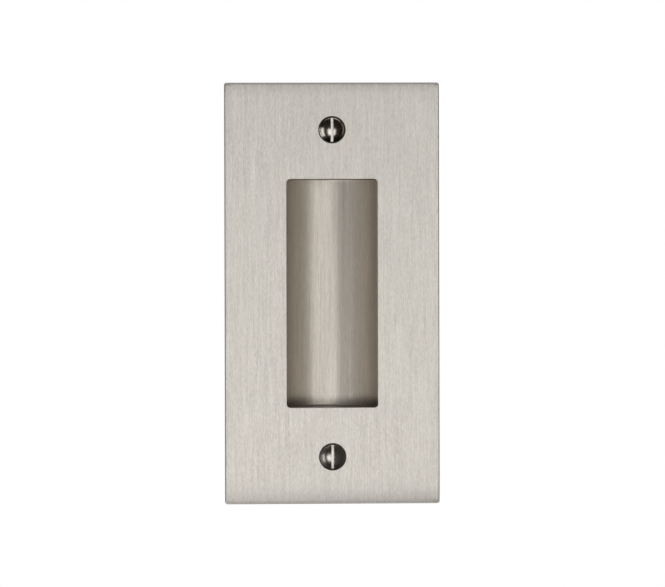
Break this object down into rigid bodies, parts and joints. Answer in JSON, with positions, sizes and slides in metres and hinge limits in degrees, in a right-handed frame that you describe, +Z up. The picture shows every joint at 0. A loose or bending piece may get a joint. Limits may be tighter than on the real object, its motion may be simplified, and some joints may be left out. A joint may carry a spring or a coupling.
{
  "type": "pocket door pull",
  "caption": "Rectangular flush door pull: satin nickel plate with a half-round finger cup behind an upright window, fixed to the door by slotted raised-head screws.",
  "frame": {"origin": "middle of the plate's back face, on the surface of the door", "axes": "+Z up along the plate, +Y into the door, +X to the right as seen from in front of the door"},
  "size_m": [0.052, 0.021, 0.102],
  "materials": {
    "satin_nickel": "nickel-plated brass, brushed upright to a satin grain",
    "polished_nickel": "nickel-plated brass, polished"
  },
  "bodies": {
    "root": {"pull_body": "satin_nickel", "fixing_screws": "polished_nickel"}
  },
  "joints": []
}
